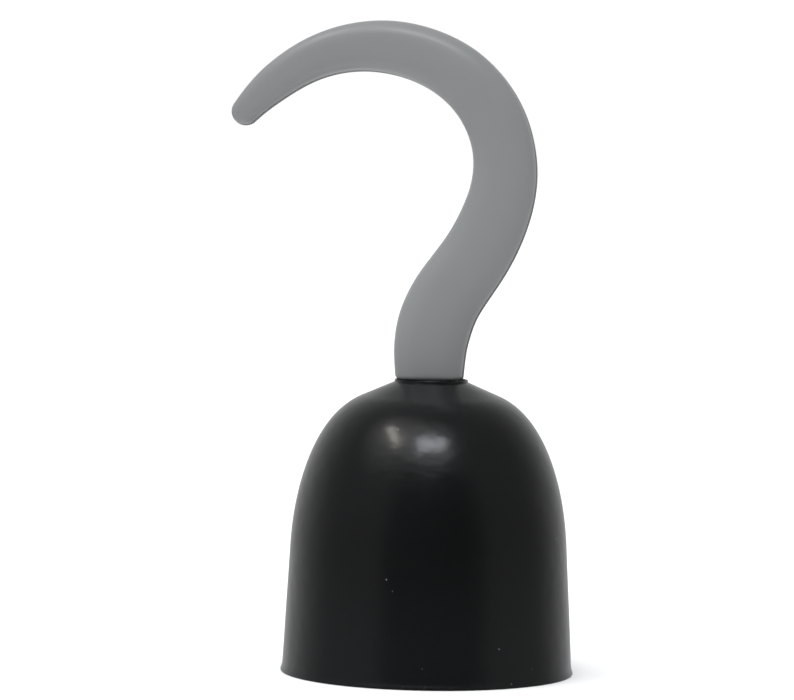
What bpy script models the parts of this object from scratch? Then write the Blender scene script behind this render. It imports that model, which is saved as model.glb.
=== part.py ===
"""Costume hook hand: a moulded hook on a domed hand cup, with a T grip inside.

The hook is a hollow moulding in two halves that meet on the plane Y = 0 and are held by four
screws. Its round spigot goes down through the neck of the cup and ends in a hexagonal key. The
key fits the socket of a T-shaped grip, and one long screw pulls hook and grip together on the
neck, over a friction washer, so hook and grip turn as one in the cup.

Frame: metres, +Z up, the cup's mouth on Z = 0, the hook's point towards -X. The origin is under
the centre of the whole object's box, so the cup's axis stands at X = AXIS_X.
Sizes below are in millimetres times MM.
"""

import math

import bmesh
import bpy
import numpy as np
from mathutils import Matrix, Vector

MM = 0.001
FIT = 0.3 * MM  # clearance between two pieces that touch

# Cup
AXIS_X = 11.5 * MM
MOUTH_RADIUS = 58.0 * MM
CUP_WALL = 1.9 * MM
WALL_TOP = 50.4 * MM  # height where the drafted wall turns into the dome
WALL_DRAFT = 0.054  # how far the wall leans in for each unit of height
LAND_HEIGHT = 116.2 * MM  # flat seat under the hook
LAND_RADIUS = 14.7 * MM
SHOULDER_RADIUS = 27.6 * MM  # where the sloping shoulder turns into the dome
SHOULDER_SLOPE = math.radians(23.5)
DOME_LOWER_PULL = 23.0 * MM  # handle lengths of the dome's curve
DOME_UPPER_PULL = 21.0 * MM
DOME_POINTS = 11
LIP_HEIGHT = 0.7 * MM  # raised edge round the seat
LIP_WIDTH = 0.8 * MM
BEAD = 0.5 * MM  # rolled edge of the mouth
BEAD_HEIGHT = 1.8 * MM
NECK_RADIUS = 8.9 * MM  # the hole that the hook's spigot turns in
NECK_BOSS_RADIUS = 12.6 * MM
NECK_BOSS_DEPTH = 3.0 * MM

# Hook: its spine leaves the cup straight up and follows these runs and turns, clockwise positive
SPINE_START_HEIGHT = LAND_HEIGHT + FIT
SPINE_OFFSET = -0.8 * MM
SPINE_RUNS = (  # length, turn in degrees
    (9.0 * MM, 0),
    (30.0 * MM, 35),
    (10.5 * MM, 0),
    (28.5 * MM, -19),
    (63.5 * MM, -77.5),
    (61.0 * MM, -59.5),
    (34.0 * MM, -23),
)
HALF_WIDTHS = (  # distance along the spine, half width of the section
    (0.0, 12.3 * MM),
    (1.5 * MM, 13.4 * MM),
    (10.0 * MM, 14.1 * MM),
    (22.0 * MM, 14.7 * MM),
    (50.0 * MM, 13.9 * MM),
    (70.0 * MM, 13.4 * MM),
    (100.0 * MM, 12.2 * MM),
    (135.0 * MM, 11.7 * MM),
    (165.0 * MM, 10.4 * MM),
    (195.0 * MM, 8.4 * MM),
    (216.0 * MM, 7.2 * MM),
    (236.5 * MM, 4.8 * MM),
)
THICKNESS_RATIO = 0.72  # thickness of the section over its width
SECTION_POWER = 2.6  # 2 is an ellipse, more is squarer
HOOK_WALL = 1.8 * MM
CAVITY_START = 6.0 * MM
CAVITY_END = 218.0 * MM
SPINE_STEP = 6.5 * MM
SECTION_POINTS = 20

# Spigot and key under the hook
SPIGOT_RADIUS = 8.5 * MM
KEY_FLATS = 12.0 * MM
KEY_BOTTOM = 100.5 * MM
PILOT_TOP = 113.5 * MM

# Hook screws and pins
SCREW_PLACES = (16.0 * MM, 62.0 * MM, 112.0 * MM, 166.0 * MM)
PIN_PLACES = (39.0 * MM, 87.0 * MM, 139.0 * MM, 192.0 * MM)
SCREW_SEAT = 4.0 * MM
SCREW_REACH = 9.0 * MM
SCREW_RADIUS = 1.3 * MM
SCREW_HEAD_RADIUS = 2.6 * MM
SCREW_HEAD_HEIGHT = 1.8 * MM
SCREW_HOLE = 1.7 * MM
SCREW_WELL = 3.0 * MM
SCREW_BOSS = 4.2 * MM
PIN_RADIUS = 1.3 * MM
PIN_HOLE = 1.7 * MM
PIN_BOSS = 2.9 * MM
PIN_REACH = 2.4 * MM

# Grip
WASHER_THICKNESS = 0.8 * MM
WASHER_RADIUS = 12.0 * MM
FLANGE_TOP = LAND_HEIGHT - NECK_BOSS_DEPTH - 2 * FIT - WASHER_THICKNESS
SPIGOT_BOTTOM = FLANGE_TOP + FIT
FLANGE_RADIUS = 12.2 * MM
FLANGE_THICKNESS = 3.0 * MM
STEM_TOP_RADIUS = 10.2 * MM
STEM_RADIUS = 7.8 * MM
BAR_HEIGHT = 56.0 * MM
BAR_RADIUS = 10.0 * MM
BAR_HALF_LENGTH = 42.0 * MM
BAR_CORE_RADIUS = 6.8 * MM
BAR_CORE_DEPTH = 29.0 * MM
PLUG_FLANGE = 3.0 * MM
PLUG_LENGTH = 8.0 * MM
SOCKET_FLOOR = 100.0 * MM
WELL_RADIUS = 4.3 * MM
WELL_TOP = 94.0 * MM
GRIP_SCREW_RADIUS = 1.9 * MM
GRIP_SCREW_HOLE = 2.25 * MM
GRIP_SCREW_TOP = 112.5 * MM
GRIP_HEAD_RADIUS = 3.7 * MM
GRIP_HEAD_HEIGHT = 2.6 * MM
GRIP_WASHER_RADIUS = 3.9 * MM

AROUND_CUP = 48
AROUND_ROUND = 24
AROUND_SMALL = 16


# ---------------------------------------------------------------- materials


def plastic(name, colour, roughness):
    material = bpy.data.materials.new(name)
    material.use_nodes = True
    shader = material.node_tree.nodes["Principled BSDF"]
    shader.inputs["Base Color"].default_value = (*colour, 1)
    shader.inputs["Roughness"].default_value = roughness
    return material


def metal(name, colour, roughness):
    material = plastic(name, colour, roughness)
    material.node_tree.nodes["Principled BSDF"].inputs["Metallic"].default_value = 1
    return material


# ---------------------------------------------------------------- objects and cutters


def add_mesh(name, mesh, collection, material=None):
    """An object for a mesh; one with no material is a cutter."""
    thing = bpy.data.objects.new(name, mesh)
    collection.objects.link(thing)
    if material:
        mesh.materials.append(material)
    else:
        thing.hide_render = True
        thing.display_type = "WIRE"
    return thing


def round_bar(start, end, radius, end_radius=None, segments=AROUND_SMALL):
    """A mesh of a cylinder or cone whose axis runs from start to end."""
    axis = Vector(end) - Vector(start)
    middle = Matrix.Translation((Vector(start) + Vector(end)) / 2)
    lean = Vector((0, 0, 1)).rotation_difference(axis).to_matrix().to_4x4()
    shape = bmesh.new()
    bmesh.ops.create_cone(
        shape,
        cap_ends=True,
        segments=segments,
        radius1=radius,
        radius2=radius if end_radius is None else end_radius,
        depth=axis.length,
        matrix=middle @ lean,
    )
    return mesh_of(shape)


def box(low, high):
    """A mesh of a box between two corners."""
    shape = bmesh.new()
    size = np.subtract(high, low)
    place = Matrix.Translation(np.add(low, high) / 2)
    bmesh.ops.create_cube(shape, size=1, matrix=place @ Matrix.Diagonal((*size, 1)))
    return mesh_of(shape)


def mesh_of(shape):
    mesh = bpy.data.meshes.new("shape")
    bmesh.ops.recalc_face_normals(shape, faces=shape.faces)
    shape.to_mesh(mesh)
    shape.free()
    return mesh


def change(thing, operation, name, mesh):
    """Joins a mesh to the object, cuts it away, or keeps only what both share."""
    other = add_mesh(f"{thing.name}_{name}", mesh, cutters)
    modifier = thing.modifiers.new(name, "BOOLEAN")
    modifier.operation = operation
    modifier.object = other


def turned(name, profile, steps, material, centre=AXIS_X):
    """A solid of revolution about the vertical line at X = centre.

    Its profile of (radius, height) runs down the outer side, and is a closed loop unless both of
    its ends lie on the axis.
    """
    shape = bmesh.new()
    points = [shape.verts.new((radius, 0, height)) for radius, height in profile]
    on_axis = profile[0][0] == 0
    following = points[1:] if on_axis else points[1:] + points[:1]
    for first, second in zip(points, following):
        shape.edges.new((first, second))
    mesh = bpy.data.meshes.new(name)
    shape.to_mesh(mesh)
    shape.free()
    thing = add_mesh(name, mesh, parts, material)
    thing.location.x = centre
    screw = thing.modifiers.new("turn", "SCREW")
    screw.steps = screw.render_steps = steps
    screw.use_merge_vertices = True
    screw.merge_threshold = 0.00001
    return thing


def smooth(thing, angle=35):
    """Round shading, with creases kept sharp."""
    thing.data.shade_smooth()
    thing.data.set_sharp_from_angle(angle=math.radians(angle))


# ---------------------------------------------------------------- cup


def bezier(start, pull_start, pull_end, end, count):
    """Points along a cubic curve between two ends, from two handles."""
    share = np.linspace(0, 1, count)[:, None]
    back = 1 - share
    weights = (back**3, 3 * back**2 * share, 3 * back * share**2, share**3)
    return sum(w * np.array(p) for w, p in zip(weights, (start, pull_start, pull_end, end)))


def dome_line():
    """The cup's outside from the shoulder down to the top of the mouth's bead, as (radius, height)."""
    shoulder = np.array(
        (
            SHOULDER_RADIUS,
            LAND_HEIGHT - (SHOULDER_RADIUS - LAND_RADIUS) * math.tan(SHOULDER_SLOPE),
        )
    )
    wall_top = np.array((MOUTH_RADIUS - WALL_DRAFT * WALL_TOP, WALL_TOP))
    down_slope = np.array((math.cos(SHOULDER_SLOPE), -math.sin(SHOULDER_SLOPE)))
    up_wall = np.array((-WALL_DRAFT, 1)) / math.hypot(WALL_DRAFT, 1)
    dome = bezier(
        shoulder,
        shoulder + DOME_UPPER_PULL * down_slope,
        wall_top + DOME_LOWER_PULL * up_wall,
        wall_top,
        DOME_POINTS,
    )
    foot = (MOUTH_RADIUS - WALL_DRAFT * BEAD_HEIGHT, BEAD_HEIGHT)
    return np.vstack((dome, foot))


def inset(line, depth):
    """A line of (radius, height) moved inwards by depth, square to itself."""
    along = np.gradient(line, axis=0)
    along /= np.linalg.norm(along, axis=1)[:, None]
    return line + depth * np.column_stack((along[:, 1], -along[:, 0]))


def make_cup():
    """A thin dome with a flat seat, a lip round it, a boss under the neck and a rolled edge at the mouth."""
    outside = dome_line()
    inside = inset(outside, CUP_WALL)[::-1]
    lip_top = LAND_HEIGHT + LIP_HEIGHT
    seat_edge = LAND_RADIUS - LIP_WIDTH
    boss_floor = LAND_HEIGHT - NECK_BOSS_DEPTH
    boss_root = inside[-1][1] + (inside[-1][0] - NECK_BOSS_RADIUS) * math.tan(SHOULDER_SLOPE)
    profile = [
        (NECK_RADIUS, LAND_HEIGHT),
        (seat_edge, LAND_HEIGHT),
        (seat_edge + 0.3 * LIP_WIDTH, lip_top),
        (seat_edge + 0.7 * LIP_WIDTH, lip_top),
        (LAND_RADIUS, LAND_HEIGHT),
        *outside,
        (MOUTH_RADIUS + BEAD, BEAD_HEIGHT - BEAD),
        (MOUTH_RADIUS + BEAD, BEAD),
        (MOUTH_RADIUS, 0),
        (MOUTH_RADIUS - CUP_WALL, 0),
        *inside,
        (NECK_BOSS_RADIUS, boss_root),
        (NECK_BOSS_RADIUS, boss_floor),
        (NECK_RADIUS, boss_floor),
    ]
    cup = turned("cup_shell", [tuple(p) for p in profile], AROUND_CUP, black_gloss)
    smooth(cup)


# ---------------------------------------------------------------- hook


def spine_length():
    return sum(run for run, turn in SPINE_RUNS)


def spine(distance):
    """(x, z, heading) at a distance along the spine, which is a chain of arcs and straights."""
    x, z, heading = AXIS_X + SPINE_OFFSET, SPINE_START_HEIGHT, 0.0
    for run, turn in SPINE_RUNS:
        part = min(distance, run)
        bend = math.radians(turn) * part / run
        chord = part if bend == 0 else part * math.sin(bend / 2) / (bend / 2)
        x += chord * math.sin(heading + bend / 2)
        z += chord * math.cos(heading + bend / 2)
        heading += bend
        distance -= part
    return x, z, heading


def half_width(distance):
    """Half the width of the hook's section, rounded off at the point."""
    places, widths = zip(*HALF_WIDTHS)
    width = float(np.interp(distance, places, widths))
    to_end = max(spine_length() - distance, 0)
    if to_end < width:
        width *= math.sqrt(1 - (1 - to_end / width) ** 2)
    return width


def section(ratio):
    """The hook's closed cross-section, a squared ellipse 2 units wide, as a curve object."""
    curve = bpy.data.curves.new("section", "CURVE")
    curve.dimensions = "2D"
    outline = curve.splines.new("POLY")
    outline.points.add(SECTION_POINTS - 1)
    for index, point in enumerate(outline.points):
        angle = 2 * math.pi * index / SECTION_POINTS
        across, through = math.cos(angle), math.sin(angle)
        power = 2 / SECTION_POWER
        point.co = (
            math.copysign(abs(across) ** power, across),
            ratio * math.copysign(abs(through) ** power, through),
            0,
            1,
        )
    outline.use_cyclic_u = True
    guide = bpy.data.objects.new("section", curve)
    guide.hide_render = True
    cutters.objects.link(guide)
    return guide


def swept(name, places, widths, ratio):
    """A mesh of the section carried along the spine, scaled to the half width at each place."""
    guide = section(ratio)
    curve = bpy.data.curves.new(name, "CURVE")
    curve.dimensions = "2D"
    curve.bevel_mode = "OBJECT"
    curve.bevel_object = guide
    curve.use_fill_caps = True
    line = curve.splines.new("POLY")
    line.points.add(len(places) - 1)
    for point, place, width in zip(line.points, places, widths):
        x, z, heading = spine(place)
        point.co = (x, z, 0, 1)
        point.radius = width
    body = bpy.data.objects.new(name, curve)
    body.rotation_euler.x = math.radians(90)
    cutters.objects.link(body)
    bpy.context.view_layer.update()
    solid = bpy.data.meshes.new_from_object(
        body.evaluated_get(bpy.context.evaluated_depsgraph_get())
    )
    shape = bmesh.new()
    shape.from_mesh(solid)
    bmesh.ops.remove_doubles(shape, verts=shape.verts, dist=0.00001)
    shape.transform(body.matrix_world)
    bpy.data.meshes.remove(solid)
    bpy.data.objects.remove(body)
    bpy.data.objects.remove(guide)
    return mesh_of(shape)


def hook_outside():
    length = spine_length()
    tip = half_width(length - 6 * MM)
    along = np.linspace(3 * MM, length - tip, round(length / SPINE_STEP))
    rounding = length - tip * (1 - np.sin(np.radians((18, 36, 54, 70, 82, 88))))
    places = np.concatenate(((0, 1.5 * MM), along, rounding))
    return swept("hook_outside", places, [half_width(p) for p in places], THICKNESS_RATIO)


def hook_cavity():
    places = np.linspace(CAVITY_START, CAVITY_END, round(spine_length() / SPINE_STEP))
    widths = [half_width(place) - HOOK_WALL for place in places]
    mean = sum(widths) / len(widths)
    ratio = (THICKNESS_RATIO * (mean + HOOK_WALL) - HOOK_WALL) / mean
    return swept("hook_cavity", places, widths, ratio)


def post(place, radius, start, end, end_radius=None):
    """A mesh of a round post square to the parting plane, at a place along the spine."""
    x, z, heading = spine(place)
    return round_bar((x, start, z), (x, end, z), radius, end_radius)


def skin(place):
    """How far from the parting plane the middle of the wall lies."""
    return THICKNESS_RATIO * half_width(place) - 0.55 * HOOK_WALL


def make_hook_half(name, side):
    """One half of the hook, on the side of the parting plane that side (1 rear, -1 front) points to."""
    half = add_mesh(name, hook_outside(), parts, grey_satin)
    change(half, "DIFFERENCE", "cavity", hook_cavity())
    spigot = round_bar(
        (AXIS_X, 0, SPIGOT_BOTTOM),
        (AXIS_X, 0, SPINE_START_HEIGHT + 2 * MM),
        SPIGOT_RADIUS,
        segments=AROUND_ROUND,
    )
    key = round_bar(
        (AXIS_X, 0, KEY_BOTTOM),
        (AXIS_X, 0, SPIGOT_BOTTOM + 1 * MM),
        KEY_FLATS / 2 / math.cos(math.radians(30)),
        segments=6,
    )
    change(half, "UNION", "spigot", spigot)
    change(half, "UNION", "key", key)
    parting = side * FIT / 2
    for index, place in enumerate(SCREW_PLACES, 1):
        change(half, "UNION", f"boss_{index}", post(place, SCREW_BOSS, 0, side * skin(place)))
    for index, place in enumerate(PIN_PLACES, 1):
        change(half, "UNION", f"pin_boss_{index}", post(place, PIN_BOSS, 0, side * skin(place)))
    reach = 0.2
    low = (-reach, parting, 0) if side > 0 else (-reach, -reach, 0)
    high = (reach, reach, 2 * reach) if side > 0 else (reach, parting, 2 * reach)
    change(half, "INTERSECT", "side", box(low, high))
    pilot = round_bar((AXIS_X, 0, KEY_BOTTOM - 1 * MM), (AXIS_X, 0, PILOT_TOP), GRIP_SCREW_HOLE)
    change(half, "DIFFERENCE", "pilot", pilot)
    for index, place in enumerate(SCREW_PLACES, 1):
        if side > 0:
            hole = post(place, SCREW_HOLE, -1 * MM, SCREW_SEAT + 1 * MM)
            change(half, "DIFFERENCE", f"well_{index}", post(place, SCREW_WELL, SCREW_SEAT, 20 * MM))
        else:
            hole = post(place, SCREW_HOLE, 1 * MM, SCREW_SEAT - SCREW_REACH - 0.5 * MM)
        change(half, "DIFFERENCE", f"hole_{index}", hole)
    for index, place in enumerate(PIN_PLACES, 1):
        if side > 0:
            socket = post(place, PIN_HOLE, -1 * MM, PIN_REACH + FIT)
            change(half, "DIFFERENCE", f"socket_{index}", socket)
        else:
            pin = post(place, PIN_RADIUS, -1 * MM, PIN_REACH, 0.8 * PIN_RADIUS)
            change(half, "UNION", f"pin_{index}", pin)
    smooth(half, 50)


# ---------------------------------------------------------------- grip


def make_grip():
    """The T grip: a flange and stem with a hexagonal socket, and a cross bar cored from both ends."""
    flange_bottom = FLANGE_TOP - FLANGE_THICKNESS
    profile = [
        (0, FLANGE_TOP),
        (FLANGE_RADIUS, FLANGE_TOP),
        (FLANGE_RADIUS, flange_bottom),
        (STEM_TOP_RADIUS, flange_bottom - 1 * MM),
        (STEM_TOP_RADIUS, SOCKET_FLOOR - 2 * MM),
        (STEM_RADIUS, SOCKET_FLOOR - 12 * MM),
        (STEM_RADIUS, BAR_HEIGHT + 1.6 * BAR_RADIUS),
        (1.2 * STEM_RADIUS, BAR_HEIGHT + 0.35 * BAR_RADIUS),
        (STEM_RADIUS, BAR_HEIGHT),
        (0, BAR_HEIGHT),
    ]
    grip = turned("grip_handle", profile, AROUND_ROUND, grey_satin)
    bar = round_bar(
        (AXIS_X - BAR_HALF_LENGTH, 0, BAR_HEIGHT),
        (AXIS_X + BAR_HALF_LENGTH, 0, BAR_HEIGHT),
        BAR_RADIUS,
        segments=AROUND_ROUND,
    )
    change(grip, "UNION", "bar", bar)
    for side in (-1, 1):
        end = AXIS_X + side * (BAR_HALF_LENGTH + 1 * MM)
        floor = AXIS_X + side * (BAR_HALF_LENGTH - BAR_CORE_DEPTH)
        core = round_bar((floor, 0, BAR_HEIGHT), (end, 0, BAR_HEIGHT), BAR_CORE_RADIUS)
        change(grip, "DIFFERENCE", "core_left" if side < 0 else "core_right", core)
    socket = round_bar(
        (AXIS_X, 0, SOCKET_FLOOR),
        (AXIS_X, 0, FLANGE_TOP + 1 * MM),
        (KEY_FLATS / 2 + FIT) / math.cos(math.radians(30)),
        segments=6,
    )
    change(grip, "DIFFERENCE", "socket", socket)
    well = round_bar((AXIS_X, 0, 0), (AXIS_X, 0, WELL_TOP), WELL_RADIUS)
    hole = round_bar((AXIS_X, 0, WELL_TOP - 1 * MM), (AXIS_X, 0, SOCKET_FLOOR + 1 * MM), GRIP_SCREW_HOLE)
    change(grip, "DIFFERENCE", "well", well)
    change(grip, "DIFFERENCE", "hole", hole)
    smooth(grip)


def make_grip_plugs():
    """A domed plug pressed into each end of the cross bar."""
    core = BAR_CORE_RADIUS - FIT
    for side, name in ((-1, "grip_end_plug_left"), (1, "grip_end_plug_right")):
        profile = [
            (0, PLUG_FLANGE),
            (0.55 * BAR_RADIUS, 0.92 * PLUG_FLANGE),
            (0.88 * BAR_RADIUS, 0.6 * PLUG_FLANGE),
            (BAR_RADIUS, 0),
            (core, 0),
            (core, 1 * MM - PLUG_LENGTH),
            (core - 1 * MM, -PLUG_LENGTH),
            (0, -PLUG_LENGTH),
        ]
        plug = turned(name, profile, AROUND_ROUND, grey_satin)
        plug.rotation_euler.y = side * math.radians(90)
        plug.location = (AXIS_X + side * (BAR_HALF_LENGTH + FIT), 0, BAR_HEIGHT)
        smooth(plug)


# ---------------------------------------------------------------- washers and screws


def make_washer(name, outer, hole, bottom, thickness, material):
    profile = [(hole, bottom + thickness), (outer, bottom + thickness), (outer, bottom), (hole, bottom)]
    washer = turned(name, profile, AROUND_ROUND, material)
    smooth(washer)


def make_screw(name, head_radius, head_height, shank_radius, shank_length):
    """A pan-head screw with a cross recess: its seat is at its origin and its shank points down -Z."""
    profile = [
        (0, head_height),
        (0.62 * head_radius, head_height),
        (0.9 * head_radius, 0.7 * head_height),
        (head_radius, 0.3 * head_height),
        (head_radius, 0),
        (shank_radius, 0),
        (shank_radius, 1.6 * shank_radius - shank_length),
        (0.25 * shank_radius, -shank_length),
        (0, -shank_length),
    ]
    screw = turned(name, profile, AROUND_SMALL, zinc, 0)
    slot_long, slot_wide, slot_floor = 0.52 * head_radius, 0.13 * head_radius, 0.4 * head_height
    top = head_height + 1 * MM
    across = box((-slot_long, -slot_wide, slot_floor), (slot_long, slot_wide, top))
    along = box((-slot_wide, -slot_long, slot_floor), (slot_wide, slot_long, top))
    change(screw, "DIFFERENCE", "slot_across", across)
    change(screw, "DIFFERENCE", "slot_along", along)
    for modifier in screw.modifiers:
        if modifier.type == "BOOLEAN":
            modifier.object.parent = screw
    smooth(screw)
    return screw


def make_hook_screws():
    for index, place in enumerate(SCREW_PLACES, 1):
        x, z, heading = spine(place)
        screw = make_screw(
            f"hook_screw_{index}", SCREW_HEAD_RADIUS, SCREW_HEAD_HEIGHT, SCREW_RADIUS, SCREW_REACH
        )
        screw.location = (x, SCREW_SEAT + FIT, z)
        screw.rotation_euler.x = math.radians(-90)


def make_grip_screw():
    seat = WELL_TOP - 2 * FIT - WASHER_THICKNESS
    make_washer(
        "grip_screw_washer",
        GRIP_WASHER_RADIUS,
        GRIP_SCREW_HOLE,
        WELL_TOP - FIT - WASHER_THICKNESS,
        WASHER_THICKNESS,
        zinc,
    )
    screw = make_screw(
        "grip_screw", GRIP_HEAD_RADIUS, GRIP_HEAD_HEIGHT, GRIP_SCREW_RADIUS, GRIP_SCREW_TOP - seat
    )
    screw.location = (AXIS_X, 0, seat)
    screw.rotation_euler.x = math.radians(180)


for leftover in list(bpy.data.objects):
    bpy.data.objects.remove(leftover)
parts = bpy.data.collections.new("costume_hook_hand")
cutters = bpy.data.collections.new("cutters")
for group in (parts, cutters):
    bpy.context.scene.collection.children.link(group)
black_gloss = plastic("black_gloss", (0.012, 0.013, 0.013), 0.28)
grey_satin = plastic("grey_satin", (0.23, 0.235, 0.24), 0.42)
nylon = plastic("nylon", (0.75, 0.74, 0.70), 0.5)
zinc = metal("zinc", (0.62, 0.63, 0.65), 0.3)

make_cup()
make_hook_half("hook_front_half", -1)
make_hook_half("hook_rear_half", 1)
make_hook_screws()
make_washer(
    "neck_washer",
    WASHER_RADIUS,
    NECK_RADIUS,
    FLANGE_TOP + FIT,
    WASHER_THICKNESS,
    nylon,
)
make_grip()
make_grip_plugs()
make_grip_screw()
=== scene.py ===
"""Costume hook hand: the finished surfaces, materials and studio, built round the packed frame.

Run as a script, it registers its classes and makes every piece through its operators. The sidebar
of the 3D view then lists the same operators, with the sizes that they use.
"""

import math

import bmesh
import bpy
import numpy as np
from bpy.props import FloatProperty, FloatVectorProperty, PointerProperty
from mathutils import Matrix, Vector


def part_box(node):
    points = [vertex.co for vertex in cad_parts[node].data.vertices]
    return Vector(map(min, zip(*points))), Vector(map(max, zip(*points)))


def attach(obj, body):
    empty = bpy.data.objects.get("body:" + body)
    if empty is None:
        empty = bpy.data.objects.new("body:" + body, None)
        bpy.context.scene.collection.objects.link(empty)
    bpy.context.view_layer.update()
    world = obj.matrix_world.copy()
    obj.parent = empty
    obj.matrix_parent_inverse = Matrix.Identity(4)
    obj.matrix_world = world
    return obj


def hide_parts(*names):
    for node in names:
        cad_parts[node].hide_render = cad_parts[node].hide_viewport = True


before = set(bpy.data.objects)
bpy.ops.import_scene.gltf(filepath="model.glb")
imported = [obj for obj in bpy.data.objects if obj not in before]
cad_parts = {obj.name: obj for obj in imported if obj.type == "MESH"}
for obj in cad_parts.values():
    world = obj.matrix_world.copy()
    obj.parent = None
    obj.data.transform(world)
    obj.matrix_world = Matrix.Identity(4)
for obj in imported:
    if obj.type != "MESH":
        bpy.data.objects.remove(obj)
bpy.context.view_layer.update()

bl_info = {
    "name": "Costume Hook Hand",
    "version": (1, 0, 0),
    "blender": (4, 5, 0),
    "location": "3D View > Sidebar > Hook Hand",
    "description": "A moulded hook on a domed hand cup, with a grip bar inside, on a studio floor",
    "category": "Add Mesh",
}

MM = 0.001
STUDIO_RADIUS = 8.0  # of the floor and of the dome over it
AROUND = 96  # points round a turned piece
JOIN_WITHIN = 0.004 * MM  # points nearer than this are one point

# Places read from the frame, and the CAD's sizes that go with them
CUP_LOW, CUP_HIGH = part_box("cup_shell")
GRIP_LOW, GRIP_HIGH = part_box("grip_handle")
AXIS_X = (CUP_LOW.x + CUP_HIGH.x) / 2  # of the cup and of all that turns in it
LIP_HEIGHT = 0.7 * MM  # of the CAD's lip, round the seat
LAND_HEIGHT = CUP_HIGH.z - LIP_HEIGHT  # of the seat on top of the neck
BEAD = 0.5 * MM  # how far the mouth's edge stands out from the wall
FIT = 0.3 * MM  # gap between parts that fit together

# The hook's middle line, as in the CAD: its runs and their turns, clockwise positive
SPINE_START = (AXIS_X - 0.8 * MM, LAND_HEIGHT + FIT)
SPINE_RUNS = (  # length in millimetres, turn in degrees
    (9.0, 0), (30.0, 35), (10.5, 0), (28.5, -19), (63.5, -77.5), (61.0, -59.5), (34.0, -23),
)
HALF_WIDTHS = (  # millimetres along the middle line and past its ends, half width there
    (-12, 12.6), (0, 13.2), (10, 14.1), (22, 14.7), (50, 13.9), (70, 13.4), (100, 12.2),
    (135, 11.7), (165, 10.4), (195, 8.4), (216, 7.1), (236.5, 4.7), (250, 3.2),
)


# ------------------------------------------------ settings


def length(name, description, default):
    """A size in metres."""
    return FloatProperty(
        name=name, description=description, default=default, unit="LENGTH", subtype="DISTANCE"
    )


def number(name, description, default, **limits):
    """A plain number."""
    return FloatProperty(name=name, description=description, default=default, **limits)


def angle(name, description, degrees):
    """An angle, given in degrees and kept in radians."""
    turn = math.radians(degrees)
    return number(name, description, turn, unit="ROTATION", subtype="ANGLE")


def colour(name, description, default):
    """A colour in linear light."""
    return FloatVectorProperty(
        name=name, description=description, default=default, size=3, subtype="COLOR", min=0, max=1
    )


class HookHandCup(bpy.types.PropertyGroup):
    """Sizes of the hand cup."""

    mouth_radius: length(
        "Mouth radius",
        "Outer radius at the mouth, without its bead",
        (CUP_HIGH - CUP_LOW).x / 2 - BEAD,
    )
    wall: length("Wall", "Thickness of the wall", 1.9 * MM)
    wall_top: length("Wall top", "Height where the straight wall turns into the dome", 50.4 * MM)
    draft: number("Draft", "How far the wall leans in for each unit of height", 0.054)
    shoulder_radius: length("Shoulder radius", "Where the sloping shoulder starts", 27.6 * MM)
    shoulder_slope: angle("Shoulder slope", "Slope of the shoulder", 23.5)
    dome_lower_pull: length("Lower pull", "Handle of the dome's curve at the wall", 23.0 * MM)
    dome_upper_pull: length("Upper pull", "Handle of the dome's curve at the shoulder", 21.0 * MM)
    land_radius: length("Land radius", "Outer radius of the seat's raised lip", 14.7 * MM)
    lip_height: length("Lip height", "Height of the seat's raised lip", 1.0 * MM)
    neck_radius: length("Neck radius", "Radius of the hole in the neck", 8.9 * MM)
    ripple: length("Ripple", "Unevenness left by the mould's cooling", 0.07 * MM)


class HookHandHook(bpy.types.PropertyGroup):
    """Sizes of the hook's section and seam."""

    thickness_ratio: number(
        "Thickness", "Thickness of the section over its width", 0.72, min=0.3, max=1
    )
    power: number("Squareness", "2 gives an ellipse, more a squarer section", 2.7, min=2, max=6)
    seam_gap: length("Seam gap", "Gap between the two halves", 0.06 * MM)
    seam_edge: length("Seam edge", "Rounding of each half's edge at the seam", 0.22 * MM)
    base_edge: length("Base edge", "Rounding of the edge at the hook's base", 1.7 * MM)
    base_gap: length("Base gap", "Gap under the hook's base, above the CAD's", 0.5 * MM)
    offset: length("Offset", "How far each half sits off the middle line, as moulded", 0.34 * MM)


class HookHandGrip(bpy.types.PropertyGroup):
    """Sizes of the T grip."""

    bar_radius: length("Bar radius", "Radius of the cross bar", 10 * MM)
    waist: length("Waist", "How much slimmer the bar is between its middle and its ends", 0.5 * MM)
    stem_radius: length("Stem radius", "Radius of the stem", 7.8 * MM)
    fillet: length("Fillet", "Spread of the stem where it meets the bar", 2.2 * MM)


class HookHandFinish(bpy.types.PropertyGroup):
    """Colours."""

    black: colour("Black", "Colour of the cup", (0.0045, 0.0047, 0.005))
    grey: colour("Grey", "Colour of the hook and the grip", (0.213, 0.217, 0.220))
    nylon: colour("Nylon", "Colour of the neck washer", (0.72, 0.70, 0.64))
    steel: colour("Steel", "Colour of the screws", (0.62, 0.63, 0.65))


class HookHandStage(bpy.types.PropertyGroup):
    """Camera."""

    distance: length("Distance", "Camera's distance from the cup's axis", 1.8)
    height: length("Height", "Camera's height above the floor", 0.238)
    azimuth: angle("Azimuth", "How far the camera stands to the right", 5)
    roll: angle("Roll", "Clockwise tilt of the camera", 0.95)
    aim_height: length("Aim height", "Height of the point in the middle of the view", 0.1287)
    aim_side: length("Aim side", "How far left of the cup's axis that point is", 0.0139)
    lens: number("Lens", "Focal length in millimetres", 205)


GROUPS = {
    "hook_hand_cup": HookHandCup,
    "hook_hand_hook": HookHandHook,
    "hook_hand_grip": HookHandGrip,
    "hook_hand_finish": HookHandFinish,
    "hook_hand_stage": HookHandStage,
}


# ------------------------------------------------ surfaces


def smoothstep(values, low, high):
    """3 t^2 - 2 t^3, with t going from 0 at low to 1 at high."""
    share = np.clip((values - low) / (high - low), 0, 1)
    return share * share * (3 - 2 * share)


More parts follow.
